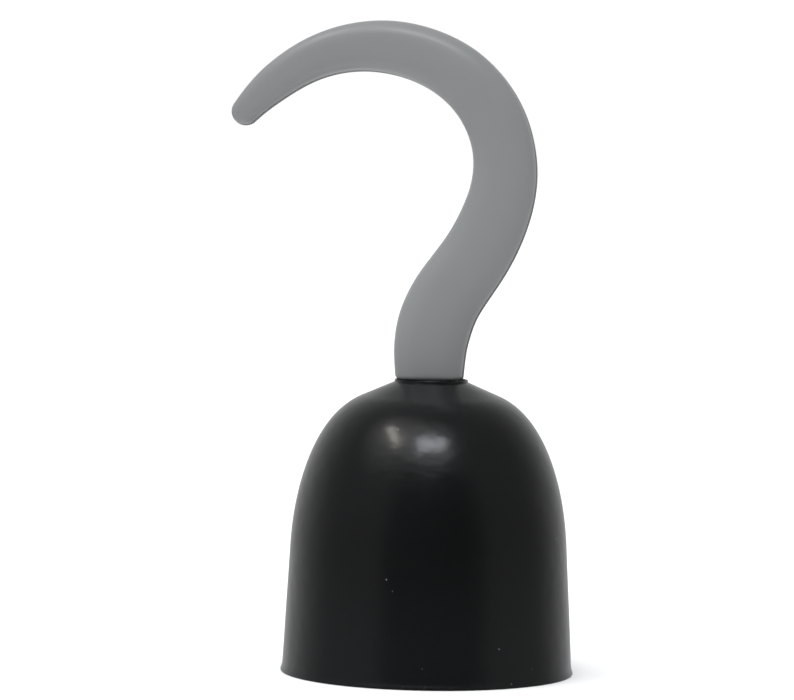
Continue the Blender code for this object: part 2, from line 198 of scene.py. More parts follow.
def cubic(start, pull_start, pull_end, end, count):
    """Points of the cubic (1-t)^3 A + 3 (1-t)^2 t B + 3 (1-t) t^2 C + t^3 D."""
    t = np.linspace(0, 1, count)[:, None]
    weights = ((1 - t) ** 3, 3 * (1 - t) ** 2 * t, 3 * (1 - t) * t**2, t**3)
    return sum(w * np.array(p) for w, p in zip(weights, (start, pull_start, pull_end, end)))


def rounded(corners, closed=True, steps=7):
    """An outline through corners (x, y, radius), each rounded by a parabola.

    The parabola starts and ends at radius from the corner P along its two sides, at A and B:
    (1-t)^2 A + 2 (1-t) t P + t^2 B. A corner of radius 0 stays one point.
    """
    points = np.array(corners, float)[:, :2]
    radii = np.array(corners, float)[:, 2]
    before, after = np.roll(points, 1, axis=0), np.roll(points, -1, axis=0)
    t = np.linspace(0, 1, steps)[:, None]
    most = 0.49  # of a side, so that two roundings never meet
    outline = []
    for index, (point, radius) in enumerate(zip(points, radii)):
        at_end = not closed and index in (0, len(points) - 1)
        if radius == 0 or at_end:
            outline.append(point[None])
            continue
        sides = before[index] - point, after[index] - point
        reach = [min(radius / np.linalg.norm(side), most) for side in sides]
        first, last = (point + share * side for share, side in zip(reach, sides))
        outline.append((1 - t) ** 2 * first + 2 * (1 - t) * t * point + t**2 * last)
    return np.vstack(outline)


def make_mesh(name, vertices, quads, triangles):
    """A closed mesh with its faces turned outwards.

    They are when its signed volume, the sum of a . (b x c) / 6 over its triangles, is positive.
    """
    split = np.vstack((quads[:, [0, 1, 2]], quads[:, [0, 2, 3]], triangles.reshape(-1, 3)))
    a, b, c = (vertices[split[:, corner]] for corner in range(3))
    if np.einsum("ij,ij->", a, np.cross(b, c)) < 0:
        quads, triangles = quads[:, ::-1], triangles[:, ::-1]
    mesh = bpy.data.meshes.new(name)
    mesh.from_pydata(vertices.tolist(), [], quads.tolist() + triangles.tolist())
    mesh.validate()
    return mesh


def closed_surface(name, rings, first_pole=None, last_pole=None):
    """A closed mesh over a grid of points (ring, place in ring), whose rings close on themselves.

    Either the last ring joins the first, as round a torus, or both ends close on a pole.
    """
    rows, columns, _ = rings.shape
    vertices = rings.reshape(-1, 3)
    index = np.arange(rows * columns).reshape(rows, columns)
    beside = np.roll(index, -1, axis=1)
    if first_pole is None:
        below, below_beside = np.roll(index, -1, axis=0), np.roll(beside, -1, axis=0)
        quads = np.stack((index, beside, below_beside, below), axis=-1).reshape(-1, 4)
        return make_mesh(name, vertices, quads, np.empty((0, 3), int))
    quads = np.stack((index[:-1], beside[:-1], beside[1:], index[1:]), axis=-1).reshape(-1, 4)
    poles = np.arange(2) + rows * columns
    fans = [
        np.stack((np.full(columns, poles[0]), beside[0], index[0]), axis=-1),
        np.stack((np.full(columns, poles[1]), index[-1], beside[-1]), axis=-1),
    ]
    vertices = np.vstack((vertices, first_pole, last_pole))
    return make_mesh(name, vertices, quads, np.vstack(fans))


def full_turn(around=AROUND):
    """Even angles round a full turn."""
    return np.linspace(0, 2 * math.pi, around, endpoint=False)


def polar(radius, turn, height):
    """The points (r cos t, r sin t, h), with r, t and h stretched to one shape."""
    places = np.broadcast_arrays(radius * np.cos(turn), radius * np.sin(turn), height)
    return np.stack(places, axis=-1)


def turned(name, outline, around=AROUND, centre=(0, 0, 0), axis="Z"):
    """A solid of revolution: (r cos a, r sin a, h) for each point (r, h) of an outline.

    An outline that starts and ends at radius 0 closes on two poles, any other is a closed ring.
    The axis can be laid along X or Y, with h still measured along it.
    """
    outline = np.asarray(outline, float)
    on_axis = outline[0, 0] == 0
    body = outline[1:-1] if on_axis else outline
    rings = polar(body[:, :1], full_turn(around), body[:, 1:])
    poles = [np.array((0, 0, end)) for end in (outline[0, 1], outline[-1, 1])]
    order = {"Z": (0, 1, 2), "X": (2, 0, 1), "Y": (1, 2, 0)}[axis]
    rings = rings[..., order] + np.array(centre)
    poles = [pole[list(order)] + np.array(centre) for pole in poles]
    return closed_surface(name, rings, *(poles if on_axis else (None, None)))


def stacked(name, levels, first, last):
    """A closed surface round the cup's axis through levels, each a radius and a height.

    Either is one number, or an array round the turn. The poles are at heights first and last.
    """
    rings = np.stack([polar(radius, full_turn(), height) for radius, height in levels])
    return closed_surface(name, rings + (AXIS_X, 0, 0), (AXIS_X, 0, first), (AXIS_X, 0, last))


def put_in_scene(name, data):
    """A new object of that name, linked to the scene."""
    thing = bpy.data.objects.new(name, data)
    bpy.context.scene.collection.objects.link(thing)
    return thing


def add_piece(name, mesh, body, material, replaced=(), crease=40):
    """Puts a finished mesh in the scene as a piece that rides on a body of the frame.

    Edges that bend by more than crease degrees are shaded sharp.
    """
    piece = put_in_scene(name, mesh)
    mesh.materials.append(material)
    mesh.shade_smooth()
    mesh.set_sharp_from_angle(angle=math.radians(crease))
    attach(piece, body)
    if replaced:
        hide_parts(*replaced)


def combined(mesh, others, operation):
    """The mesh joined with others, or with them cut away, as one mesh.

    The slivers along the cuts are merged away, and faces of many corners become triangles.
    """
    work = put_in_scene("work", mesh)
    helpers = []
    for other in others:
        helper = put_in_scene("helper", other)
        modifier = work.modifiers.new("with_helper", "BOOLEAN")
        modifier.operation = operation
        modifier.object = helper
        helpers.append(helper)
    bpy.context.view_layer.update()
    evaluated = work.evaluated_get(bpy.context.evaluated_depsgraph_get())
    result = bpy.data.meshes.new_from_object(evaluated)
    result.name = mesh.name
    clean = bmesh.new()
    clean.from_mesh(result)
    bmesh.ops.remove_doubles(clean, verts=clean.verts, dist=JOIN_WITHIN)
    bmesh.ops.dissolve_degenerate(clean, edges=clean.edges, dist=JOIN_WITHIN)
    bmesh.ops.triangulate(clean, faces=[face for face in clean.faces if len(face.verts) > 4])
    clean.to_mesh(result)
    clean.free()
    for thing in (work, *helpers):
        spent = thing.data
        bpy.data.objects.remove(thing)
        bpy.data.meshes.remove(spent)
    return result


# ------------------------------------------------ materials


class Value:
    """A number that changes over a surface: a socket with Python's arithmetic."""

    def __init__(self, finish, socket):
        self.finish = finish
        self.socket = socket

    def maths(self, operation, first, second):
        node = self.finish.add("ShaderNodeMath", {"operation": operation}, {0: first, 1: second})
        return Value(self.finish, node.outputs[0])

    def __add__(self, other):
        return self.maths("ADD", self, other)

    __radd__ = __add__

    def __sub__(self, other):
        return self.maths("SUBTRACT", self, other)

    def __rsub__(self, other):
        return self.maths("SUBTRACT", other, self)

    def __mul__(self, other):
        return self.maths("MULTIPLY", self, other)

    __rmul__ = __mul__

    def step(self, low, high):
        """Goes smoothly from 0 at low to 1 at high; low may be the larger."""
        node = self.finish.add(
            "ShaderNodeMapRange",
            {"interpolation_type": "SMOOTHSTEP"},
            {"Value": self, "From Min": low, "From Max": high},
        )
        return Value(self.finish, node.outputs[0])


class Nodes:
    """A node tree that is built up from expressions."""

    def __init__(self, tree, shader, coordinates):
        self.tree = tree
        self.shader = tree.nodes[shader]
        self.place = self.add("ShaderNodeTexCoord", {}, {}).outputs[coordinates]

    def feed(self, socket, value):
        """Links a socket to a Value or another socket, or sets it to a number or colour."""
        source = value.socket if isinstance(value, Value) else value
        if isinstance(source, bpy.types.NodeSocket):
            self.tree.links.new(source, socket)
        elif socket.type == "RGBA":
            socket.default_value = (*source, 1)
        else:
            socket.default_value = source

    def add(self, kind, settings, values):
        """Adds a node: its settings are made first, then its sockets are fed."""
        node = self.tree.nodes.new(kind)
        for name, setting in settings.items():
            setattr(node, name, setting)
        for socket, value in values.items():
            self.feed(node.inputs[socket], value)
        return node

    def set(self, **sockets):
        """Feeds the shader's sockets, named with _ for a space."""
        for socket, value in sockets.items():
            self.feed(self.shader.inputs[socket.replace("_", " ")], value)

    def toward(self, x, y, z):
        """The cosine of the angle between the place's direction and the direction (x, y, z)."""
        way = Vector((x, y, z)).normalized()
        settings = {"operation": "DOT_PRODUCT"}
        node = self.add("ShaderNodeVectorMath", settings, {0: self.place, 1: way})
        return Value(self, node.outputs["Value"])


class Finish(Nodes):
    """A material on the Principled shader, whose patterns lie on Object coordinates."""

    def __init__(self, name, **uniform):
        self.material = bpy.data.materials.new(name)
        self.material.use_nodes = True
        super().__init__(self.material.node_tree, "Principled BSDF", "Object")
        self.set(**uniform)

    def axes(self):
        """The place's X, Y and Z as values, in metres."""
        node = self.add("ShaderNodeSeparateXYZ", {}, {0: self.place})
        return [Value(self, output) for output in node.outputs]

    def noise(self, size, detail=2.0, stretch=(1, 1, 1)):
        """Cloudy values round 0.5, with clouds about size metres across."""
        mapping = self.add("ShaderNodeMapping", {}, {"Vector": self.place, "Scale": stretch})
        node = self.add(
            "ShaderNodeTexNoise",
            {},
            {"Vector": mapping.outputs[0], "Scale": 1 / size, "Detail": detail},
        )
        return Value(self, node.outputs[0])

    def cells(self, size):
        """Distance from the middle of scattered cells about size metres across, in cell sizes."""
        node = self.add("ShaderNodeTexVoronoi", {}, {"Vector": self.place, "Scale": 1 / size})
        return Value(self, node.outputs["Distance"])

    def between(self, share, first, second):
        """A colour that goes from first to second as share goes from 0 to 1."""
        node = self.add("ShaderNodeMix", {"data_type": "RGBA"}, {0: share, 6: first, 7: second})
        return node.outputs[2]

    def bump(self, height, distance, strength=1.0, over=None):
        """The surface's normal, tilted as if height times distance metres were added to it."""
        values = {"Height": height, "Distance": distance, "Strength": strength}
        if over is not None:
            values["Normal"] = over
        return self.add("ShaderNodeBump", {}, values).outputs[0]

    def show(self, shader):
        """Puts another shader on the surface."""
        self.feed(self.tree.nodes["Material Output"].inputs["Surface"], shader.outputs[0])


def tinted(base, factor):
    """The colour made lighter or darker by a factor."""
    return tuple(channel * factor for channel in base)


def finish_settings():
    return bpy.context.scene.hook_hand_finish


def ready_material(name, make):
    """The material of that name, made the first time that it is asked for."""
    return bpy.data.materials.get(name) or make(name)


def black_plastic(name):
    """Glossy black moulding.

    Its surface has soft swells and a fine orange peel, and its colour faint flow clouds, a painted
    reflection of the floor that lightens it towards the mouth, a few specks, and scuffs on the
    rim.
    """
    finish = Finish(name)
    scuffed, dusty = (0.04, 0.04, 0.04), (0.32, 0.31, 0.29)
    black = tuple(finish_settings().black)
    height = finish.axes()[2]
    clouds = finish.noise(38 * MM, 3)
    swell = finish.noise(8 * MM, 1.5, stretch=(1, 1, 1.5))
    peel = finish.noise(1.6 * MM, 2)
    scratches = finish.noise(2.2 * MM, 3, stretch=(1, 1, 0.12)).step(0.60, 0.72)
    dust = finish.cells(7 * MM).step(0.045, 0.025) * finish.noise(30 * MM, 2).step(0.5, 0.62)
    scuffs = finish.noise(1.8 * MM, 4, stretch=(1, 1, 0.3)).step(0.55, 0.75)
    scuffs = scuffs * height.step(3 * MM, 0)
    shade = finish.between(clouds, tinted(black, 0.8), tinted(black, 1.3))
    # painted reflection of the pale floor: the base colour lightens towards the mouth
    shade = finish.between(height.step(60 * MM, 0), shade, tinted(black, 1.7))
    shade = finish.between(scuffs * 0.2, shade, scuffed)
    finish.set(
        Base_Color=finish.between(dust * 0.8, shade, dusty),
        Roughness=0.19 + clouds * 0.06 + scratches * 0.03 + scuffs * 0.1 + dust * 0.3,
        Normal=finish.bump(peel, 0.010 * MM, over=finish.bump(swell, 0.15 * MM)),
    )
    return finish.material


def grey_plastic(name):
    """Satin grey moulding: a fine spark-eroded grain, faint clouds and a few burnished patches."""
    finish = Finish(name)
    grey = tuple(finish_settings().grey)
    clouds = finish.noise(30 * MM, 3)
    grain = finish.noise(0.45 * MM, 3)
    rubbed = finish.noise(16 * MM, 4).step(0.55, 0.75)
    shade = finish.between(clouds, tinted(grey, 0.95), tinted(grey, 1.05))
    finish.set(
        Base_Color=finish.between(grain, shade, tinted(grey, 1.04)),
        Roughness=0.30 + clouds * 0.05 + grain * 0.05 - rubbed * 0.03,
        Normal=finish.bump(grain, 0.02 * MM),
    )
    return finish.material


def nylon_plastic(name):
    """Natural nylon: milky, with soft clouds."""
    finish = Finish(name)
    nylon = tuple(finish_settings().nylon)
    clouds = finish.noise(4 * MM, 3)
    finish.set(
        Base_Color=finish.between(clouds, tinted(nylon, 0.92), nylon),
        Roughness=0.42 + clouds * 0.12,
        Normal=finish.bump(finish.noise(0.5 * MM, 2), 0.01 * MM),
    )
    return finish.material


def zinc_steel(name):
    """Zinc-plated steel: bright, finely mottled, dulled in patches."""
    finish = Finish(name, Metallic=1.0)
    steel = tuple(finish_settings().steel)
    mottle = finish.noise(0.6 * MM, 4)
    patches = finish.noise(3 * MM, 3).step(0.45, 0.7)
    finish.set(
        Base_Color=finish.between(patches, steel, tinted(steel, 0.72)),
        Roughness=0.24 + mottle * 0.16 + patches * 0.12,
        Normal=finish.bump(mottle, 0.01 * MM),
    )
    return finish.material


# ------------------------------------------------ cup


def cup_outline(cup):
    """The cup's whole closed section as (radius, height).

    It runs from the neck's hole over the outside, round the mouth and back up the inside. The
    inside is the outside moved in by the wall's thickness, square to the section.
    """
    boss, boss_depth = 12.6 * MM, 3 * MM  # under the seat: its radius, and how far it reaches down
    dome_points, wall_points, wall_foot = 56, 24, 4 * MM
    land = LAND_HEIGHT
    lip = cup.land_radius
    slope = np.array((math.cos(cup.shoulder_slope), -math.sin(cup.shoulder_slope)))
    shoulder = np.array((cup.shoulder_radius, land))
    shoulder[1] -= (cup.shoulder_radius - lip) * math.tan(cup.shoulder_slope)
    wall_top = np.array((cup.mouth_radius - cup.draft * cup.wall_top, cup.wall_top))
    up_wall = np.array((-cup.draft, 1)) / math.hypot(cup.draft, 1)
    dome = cubic(
        shoulder,
        shoulder + cup.dome_upper_pull * slope,
        wall_top + cup.dome_lower_pull * up_wall,
        wall_top,
        dome_points,
    )
    heights = np.linspace(cup.wall_top, wall_foot, wall_points)[1:]
    wall = np.stack((cup.mouth_radius - cup.draft * heights, heights), axis=-1)
    outside = np.vstack((dome, wall))
    along = np.gradient(outside, axis=0)
    along /= np.linalg.norm(along, axis=1)[:, None]
    inside = (outside + cup.wall * np.stack((along[:, 1], -along[:, 0]), axis=-1))[::-1]
    boss_floor = land - boss_depth
    boss_root = inside[-1, 1] + (inside[-1, 0] - boss) * math.tan(cup.shoulder_slope)
    bead = cup.mouth_radius + BEAD

    def plain(points):
        return [(radius, height, 0) for radius, height in points]

    corners = [
        (cup.neck_radius, land, 0.3 * MM),
        (lip - 0.7 * MM, land, 0.15 * MM),
        (lip - 0.62 * MM, land + cup.lip_height, 0.14 * MM),
        (lip - 0.1 * MM, land + cup.lip_height, 0.16 * MM),
        (lip, land, 0.12 * MM),
        *plain(outside),
        (cup.mouth_radius - 0.02 * MM, 2.2 * MM, 1.1 * MM),
        (bead, 0.9 * MM, 0.7 * MM),
        (bead, 0, 0.5 * MM),
        (cup.mouth_radius - cup.wall, 0, 0.5 * MM),
        *plain(inside),
        (boss, boss_root, 1.2 * MM),
        (boss, boss_floor, 0.4 * MM),
        (cup.neck_radius, boss_floor, 0.4 * MM),
    ]
    return rounded(corners)


def make_cup_mesh(cup):
    """The section turned about the axis.

    A low ripple, the mean of three waves in the angle and the height, moves the wall in and out
    as cooling does. It fades towards the neck, which stays round.
    """
    outline = cup_outline(cup)
    turn = full_turn(3 * AROUND)
    radius, height = outline[:, :1], outline[:, 1:]
    waves = ((3, 60.0, 0.4), (5, -95.0, 2.1), (8, 140.0, 4.0))  # round, radians a metre up, phase
    ripple = sum(np.sin(times * turn + rate * height + phase) for times, rate, phase in waves)
    neck, full = 16 * MM, 45 * MM  # radii where the ripple starts and where it is whole
    radius = radius + cup.ripple * ripple / len(waves) * smoothstep(radius, neck, full)
    return closed_surface("cup_moulding", polar(radius, turn, height) + (AXIS_X, 0, 0))


# ------------------------------------------------ hook


def spine(step=0.25 * MM, blend=14 * MM):
    """Distance, middle point, heading and half width at even steps along the hook.

    The curvature is each run's turn over its length, averaged over blend with a raised cosine so
    that no run starts abruptly. The heading is its running sum, and the middle point the running
    sum of (sin heading, cos heading). The half width is averaged in the same way.
    """
    lengths, turns = np.array(SPINE_RUNS, float).T
    lengths, turns = lengths * MM, np.radians(turns)
    window = np.hanning(round(blend / step) | 1)
    window /= window.sum()
    margin = len(window) // 2
    count = round(lengths.sum() / step)
    distance = (np.arange(-margin, count + margin + 1)) * step
    run = np.searchsorted(np.cumsum(lengths), distance).clip(max=len(lengths) - 1)
    curvature = np.convolve((turns / lengths)[run], window, "valid")
    places, widths = np.array(HALF_WIDTHS, float).T * MM
    width = np.convolve(np.interp(distance, places, widths), window, "valid")

    def running_sum(values):
        return np.concatenate(((0,), np.cumsum((values[1:] + values[:-1]) / 2) * step))

    heading = running_sum(curvature)
    middle = np.stack((running_sum(np.sin(heading)), running_sum(np.cos(heading))), axis=-1)
    return np.arange(count + 1) * step, middle + SPINE_START, heading, width


def edge_loss(depth, radius):
    """How far an edge rounded by r has drawn back at depth d: r - sqrt(r^2 - (r - d)^2)."""
    left = np.clip(1 - depth / radius, 0, 1)
    return radius * (1 - np.sqrt(1 - left**2))


def hook_half(name, side, hook):
    """One half of the hook: half a squared ellipse carried along the middle line.

    At half width w and half thickness b the section is (w u, b v) with u = cos(a)^(2/p) and
    v = sin(a)^(2/p). The point is round: w shrinks to sqrt(1 - (1 - d/t)^2) of itself where the
    distance d to the end is less than t, the half width there. The halves are moulded a little
    off each other, the front one up and left, so the rear one's edge shows along the right and
    under the bend. Side is -1 for the front half and 1 for the rear one.
    """
    base_count, body_count, tip_count, across_count = 8, 210, 26, 84
    gathering = 0.93  # how closely the section's points gather at its two edges; 0 is evenly
    distance, middle, heading, width = spine()
    total = distance[-1]
    tip = width[-1]
    edge = hook.base_edge
    base = hook.base_gap
    base_rows = base + edge * (1 - np.cos(np.linspace(0, math.pi / 2, base_count)))
    tip_rows = total - tip * (1 - np.sin(np.linspace(0, math.pi / 2, tip_count)))[:-1]
    body_rows = np.linspace(base + edge, total - tip, body_count)[1:-1]
    rows = np.concatenate((base_rows, body_rows, tip_rows))
    place = np.stack([np.interp(rows, distance, middle[:, axis]) for axis in (0, 1)], axis=-1)
    turn = np.interp(rows, distance, heading)[:, None]
    half = np.interp(rows, distance, width)
    to_end = np.clip((total - rows) / tip, 0, 1)
    half = half * np.sqrt(1 - (1 - to_end) ** 2) - edge_loss(rows - base, edge)
    half = half[:, None]

    shift = side * hook.offset * math.sqrt(0.5)
    share = np.linspace(0, 1, across_count)
    around = math.pi * (share - gathering * np.sin(2 * math.pi * share) / (2 * math.pi))
    across = np.sign(np.cos(around)) * np.abs(np.cos(around)) ** (2 / hook.power)
    through = np.abs(np.sin(around)) ** (2 / hook.power)
    gap = np.minimum(hook.seam_gap / 2, 0.2 * half)  # both are less where the hook is thin
    out = gap + (hook.thickness_ratio * half - gap) * through
    loss = edge_loss(out - gap, np.minimum(hook.seam_edge, 0.15 * half))
    wide = np.sign(across) * np.maximum(np.abs(half * across) - loss, 0)
    rings = np.stack(
        (
            place[:, :1] + wide * np.cos(turn) + shift,
            side * out,
            place[:, 1:] - wide * np.sin(turn) - shift,
        ),
        axis=-1,
    )
    end = middle[-1] + (shift, -shift)
    low_pole = rings[0].mean(axis=0)
    return closed_surface(name, rings, low_pole, (end[0], 0, end[1]))


def screw_places():
    """(x, z) of each hook screw, and the height of the hook's rear face above the seam there."""
    ratio = bpy.context.scene.hook_hand_hook.thickness_ratio
    _, middle, _, width = spine()
    places = []
    for index in range(1, 5):
        low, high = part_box(f"hook_screw_{index}")
        place = np.array(((low.x + high.x) / 2, (low.z + high.z) / 2))
        nearest = np.argmin(np.linalg.norm(middle - place, axis=1))
        places.append((*place, ratio * width[nearest]))
    return places


def screw_well(x, z, face):
    """A cutter for a screw's stepped hole, with a small flare where it meets the rear face."""
    shank, head = 1.7 * MM, 3.0 * MM  # radii of the hole round each
    below, seat, above = -1 * MM, 4 * MM, face + 0.5 * MM
    outline = [
        (0, below),
        (shank, below),
        (shank, seat),
        (head, seat),
        (head, face - 0.35 * MM),
        (head + 0.12 * MM, face - 0.12 * MM),
        (head + 0.4 * MM, face + 0.06 * MM),
        (head + 0.9 * MM, above),
        (0, above),
    ]
    return turned("well", outline, AROUND // 2, (x, 0, z), "Y")


def make_spigot_mesh():
    """The oval foot inside the hook's base, the round spigot and the six-sided key under it.

    At an angle t the oval's radius is a b / sqrt((b cos t)^2 + (a sin t)^2), and the hexagon's is
    half its width over the cosine of the angle from the middle of the nearest side.
    """
    wide, deep = 11.2 * MM, 8.6 * MM  # the oval's two radii
    half_key, bevel = 6 * MM, 0.6 * MM
    turn = full_turn()
    from_flat = np.mod(turn, math.pi / 3) - math.pi / 6
    hexagon = half_key / np.cos(from_flat)
    circle = np.full(AROUND, 8.5 * MM)
    oval = wide * deep / np.hypot(deep * np.cos(turn), wide * np.sin(turn))
    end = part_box("hook_rear_half")[0].z
    top = LAND_HEIGHT + 3 * MM
    step = LAND_HEIGHT + 0.15 * MM
    shelf = GRIP_HIGH.z + FIT
    levels = (
        (oval, top),
        (oval, step),
        (circle, step),
        (circle, LAND_HEIGHT - 0.2 * MM),
        (circle, shelf + 0.3 * MM),
        (circle - 0.3 * MM, shelf),
        (hexagon + 0.1 * MM, shelf),
        (hexagon, end + bevel),
        (hexagon - bevel, end),
    )
    return stacked("hook_spigot", levels, top, end)


# ------------------------------------------------ grip


def grip_bar(grip, bar_z):
    """The cross bar, lying along X: its radius is R - waist (1 - cos(2 pi t)) / 2, with t from 0
    at its middle to 1 at its ends, which are rounded."""
    half = (GRIP_HIGH.x - GRIP_LOW.x) / 2
    rounding = 0.8 * MM
    run = np.linspace(-half, half, 121)
    slim = grip.waist * (1 - np.cos(2 * math.pi * np.abs(run) / half)) / 2
    side = np.stack((grip.bar_radius - slim, run), axis=-1)[3:-3]
    round_end = [(0.55, 0), (0.85, 0.12), (1, 0.45)]  # shares of the rounding, out and along
    near = [(grip.bar_radius - rounding * (1 - a), -half + rounding * b) for a, b in round_end]
    far = [(radius, -place) for radius, place in reversed(near)]
    outline = np.vstack(((0, -half), near, side, far, (0, half)))
    return turned("grip_moulding", outline, centre=(AXIS_X, 0, bar_z), axis="X")


def grip_stem(grip, bar_z):
    """The flange, the collar and the stem, whose foot spreads as a quarter ellipse.

    The foot ends a little below the bar's surface, whose height is sqrt(R^2 - y^2).
    """
    top = GRIP_HIGH.z
    flange, collar = 12.2 * MM, 10.2 * MM
    straight = rounded(
        [
            (0, top, 0),
            (flange, top, 0.4 * MM),
            (flange, top - 3 * MM, 0.6 * MM),
            (collar, top - 4 * MM, 1.0 * MM),
            (collar, top - 13.8 * MM, 3 * MM),
            (grip.stem_radius, top - 23.8 * MM, 4 * MM),
            (grip.stem_radius, bar_z + 17 * MM, 0),
        ],
        closed=False,
    )[1:]
    turn = full_turn()
    share = np.linspace(0, 1, 15)[1:]
    wide = grip.stem_radius + grip.fillet * (1 - np.sqrt(1 - share**2))
    reach = np.minimum(np.abs(wide[-1] * np.sin(turn)), 0.985 * grip.bar_radius)
    surface = bar_z + np.sqrt(grip.bar_radius**2 - reach**2) - 0.25 * MM
    begin = straight[-1, 1]
    height = begin + (surface - begin) * share[:, None]
    shaft = polar(straight[:, :1], turn, straight[:, 1:])
    foot = polar(wide[:, None], turn, height)
    rings = np.concatenate((shaft, foot)) + (AXIS_X, 0, 0)
    return closed_surface("stem", rings, (AXIS_X, 0, top), (AXIS_X, 0, bar_z))


def grip_well(grip, bar_z):
    """A cutter for the screw's well, flared where it comes out through the bar's round side."""
    well, flare = 4.3 * MM, 0.6 * MM
    turn = full_turn()
    roof = GRIP_HIGH.z - 17.8 * MM
    mouth = bar_z - np.sqrt(grip.bar_radius**2 - (well * np.sin(turn)) ** 2)
    levels = (
        (well, roof),
        (well, mouth + 0.5 * MM),
        (well + 0.15 * MM, mouth + 0.2 * MM),
        (well + flare, mouth - 0.15 * MM),
        (well + flare, mouth - 3 * MM),
    )
    return stacked("well", levels, roof, bar_z - 13 * MM)


def make_grip_mesh(grip):
    """The bar and the stem in one, with the screw's well up through both."""
    bar_z = GRIP_LOW.z + grip.bar_radius
    whole = combined(grip_bar(grip, bar_z), [grip_stem(grip, bar_z)], "UNION")
    return combined(whole, [grip_well(grip, bar_z)], "DIFFERENCE")


def make_plug_mesh(name, side, grip):
    """A domed plug with a shallow dimple, pressed into the end of the bar."""
    bar_z = GRIP_LOW.z + grip.bar_radius
    end = (GRIP_HIGH.x - GRIP_LOW.x) / 2 + FIT
    radius = grip.bar_radius
    neck, lead, depth = 6.5 * MM, 1 * MM, 8 * MM  # of the part inside the bar
    outline = rounded(
        [
            (0, 2.5 * MM, 0),
            (2.6 * MM, 2.6 * MM, 0.8 * MM),
            (3.6 * MM, 3.0 * MM, 0.5 * MM),
            (0.62 * radius, 2.8 * MM, 1.5 * MM),
            (0.97 * radius, 1.6 * MM, 1.2 * MM),
            (radius, 0, 0.35 * MM),
            (neck, 0, 0.2 * MM),
            (neck, lead - depth, 0.5 * MM),
            (neck - lead, -depth, 0.5 * MM),
            (0, -depth, 0),
        ],
        closed=False,
    )
    outline = outline * (1, side) + (0, side * end)
    return turned(name, outline, centre=(AXIS_X, 0, bar_z), axis="X")


# ------------------------------------------------ screws and washers


# Head radius, head height, shank radius and pitch
HOOK_SCREW = (2.6 * MM, 1.8 * MM, 1.3 * MM, 1.0 * MM)
GRIP_SCREW = (3.7 * MM, 2.6 * MM, 1.9 * MM, 1.4 * MM)


def make_screw_mesh(name, node, axis, side, sizes):
    """A pan-head screw with a thread and a cross recess, in the box of its CAD node.

    Along the shank the radius follows a triangle wave of the height less the angle's share of a
    turn, which winds the thread. The axis is 0, 1 or 2 for X, Y or Z, and the head is at its high
    end where side is 1, and at its low end where side is -1.
    """
    head_radius, head_height, shank, pitch = sizes
    low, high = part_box(node)
    tip = high[axis] - low[axis] - head_height
    root = 0.74 * shank  # radius at the bottom of the thread
    least = 0.12  # the point's share of that radius
    turn = full_turn(AROUND // 2)
    head = rounded(
        [
            (0, head_height, 0),
            (0.6 * head_radius, head_height, 0.5 * head_radius),
            (head_radius, 0.55 * head_height, 0.45 * head_radius),
            (head_radius, 0, 0.15 * MM),
            (shank, 0, 0.1 * MM),
            (shank, -0.6 * MM, 0),
        ],
        closed=False,
    )[1:]
    heights = np.arange(-0.7 * MM, -tip + 0.05 * MM, -pitch / 10)
    phase = np.mod(heights[:, None] / pitch - turn / (2 * math.pi), 1)
    crest = 1 - np.clip(np.abs(phase - 0.5) * 3.2, 0, 1)
    core = root * np.clip((heights + tip) / (1.8 * shank) + least, least, 1)[:, None]
    depth = (shank - root) * np.clip((heights + tip) / (1.2 * shank), 0, 1)[:, None]
    thread = core + depth * crest
    radii = np.concatenate((np.broadcast_to(head[:, :1], (len(head), len(turn))), thread))
    levels = np.concatenate((head[:, 1], heights))
    rings = polar(radii, turn, levels[:, None])
    body = closed_surface(name, rings, (0, 0, head_height), (0, 0, -tip))
    body = combined(body, cross_recess(head_radius, head_height), "DIFFERENCE")
    place = (low + high) / 2
    place[axis] = high[axis] - head_height if side > 0 else low[axis] + head_height
    upright = Vector((0, 0, 1))
    lean = upright.rotation_difference(Vector([side * (index == axis) for index in range(3)]))
    body.transform(Matrix.Translation(place) @ lean.to_matrix().to_4x4())
    return body


def cross_recess(head_radius, head_height):
    """Two tapered blades at right angles, each a four-sided ring at its floor and at its top."""
    low, high = 0.25 * head_height, 1.3 * head_height
    levels = (  # height, half length and half thickness
        (low, 0.30 * head_radius, 0.10 * head_radius),
        (high, 0.66 * head_radius, 0.17 * head_radius),
    )
    blades = []
    for turn in (0, math.pi / 2):
        spin = np.array(((math.cos(turn), math.sin(turn)), (-math.sin(turn), math.cos(turn))))
        rings = []
        for height, reach, half in levels:
            corner = np.array(((reach, half), (-reach, half), (-reach, -half), (reach, -half)))
            rings.append(np.column_stack((corner @ spin, np.full(4, height))))
        blades.append(closed_surface("blade", np.stack(rings), (0, 0, low), (0, 0, high)))
    return blades


def make_washer_mesh(name, node, hole):
    """A flat ring in the box of its CAD node, its edges rounded."""
    low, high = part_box(node)
    outer = (high.x - low.x) / 2
    edge = 0.2 * MM
    corners = [(hole, high.z), (outer, high.z), (outer, low.z), (hole, low.z)]
    outline = rounded([(*corner, edge) for corner in corners], steps=5)
    return turned(name, outline, centre=(AXIS_X, 0, 0))


# ------------------------------------------------ stage


def aim(thing, target, roll=0.0):
    """Turns a camera or light so that it looks at a point, with its top upwards."""
    away = Vector(target) - thing.location
    thing.rotation_mode = "QUATERNION"
    turn = Matrix.Rotation(roll, 3, "Z").to_quaternion()
    thing.rotation_quaternion = away.to_track_quat("-Z", "Y") @ turn


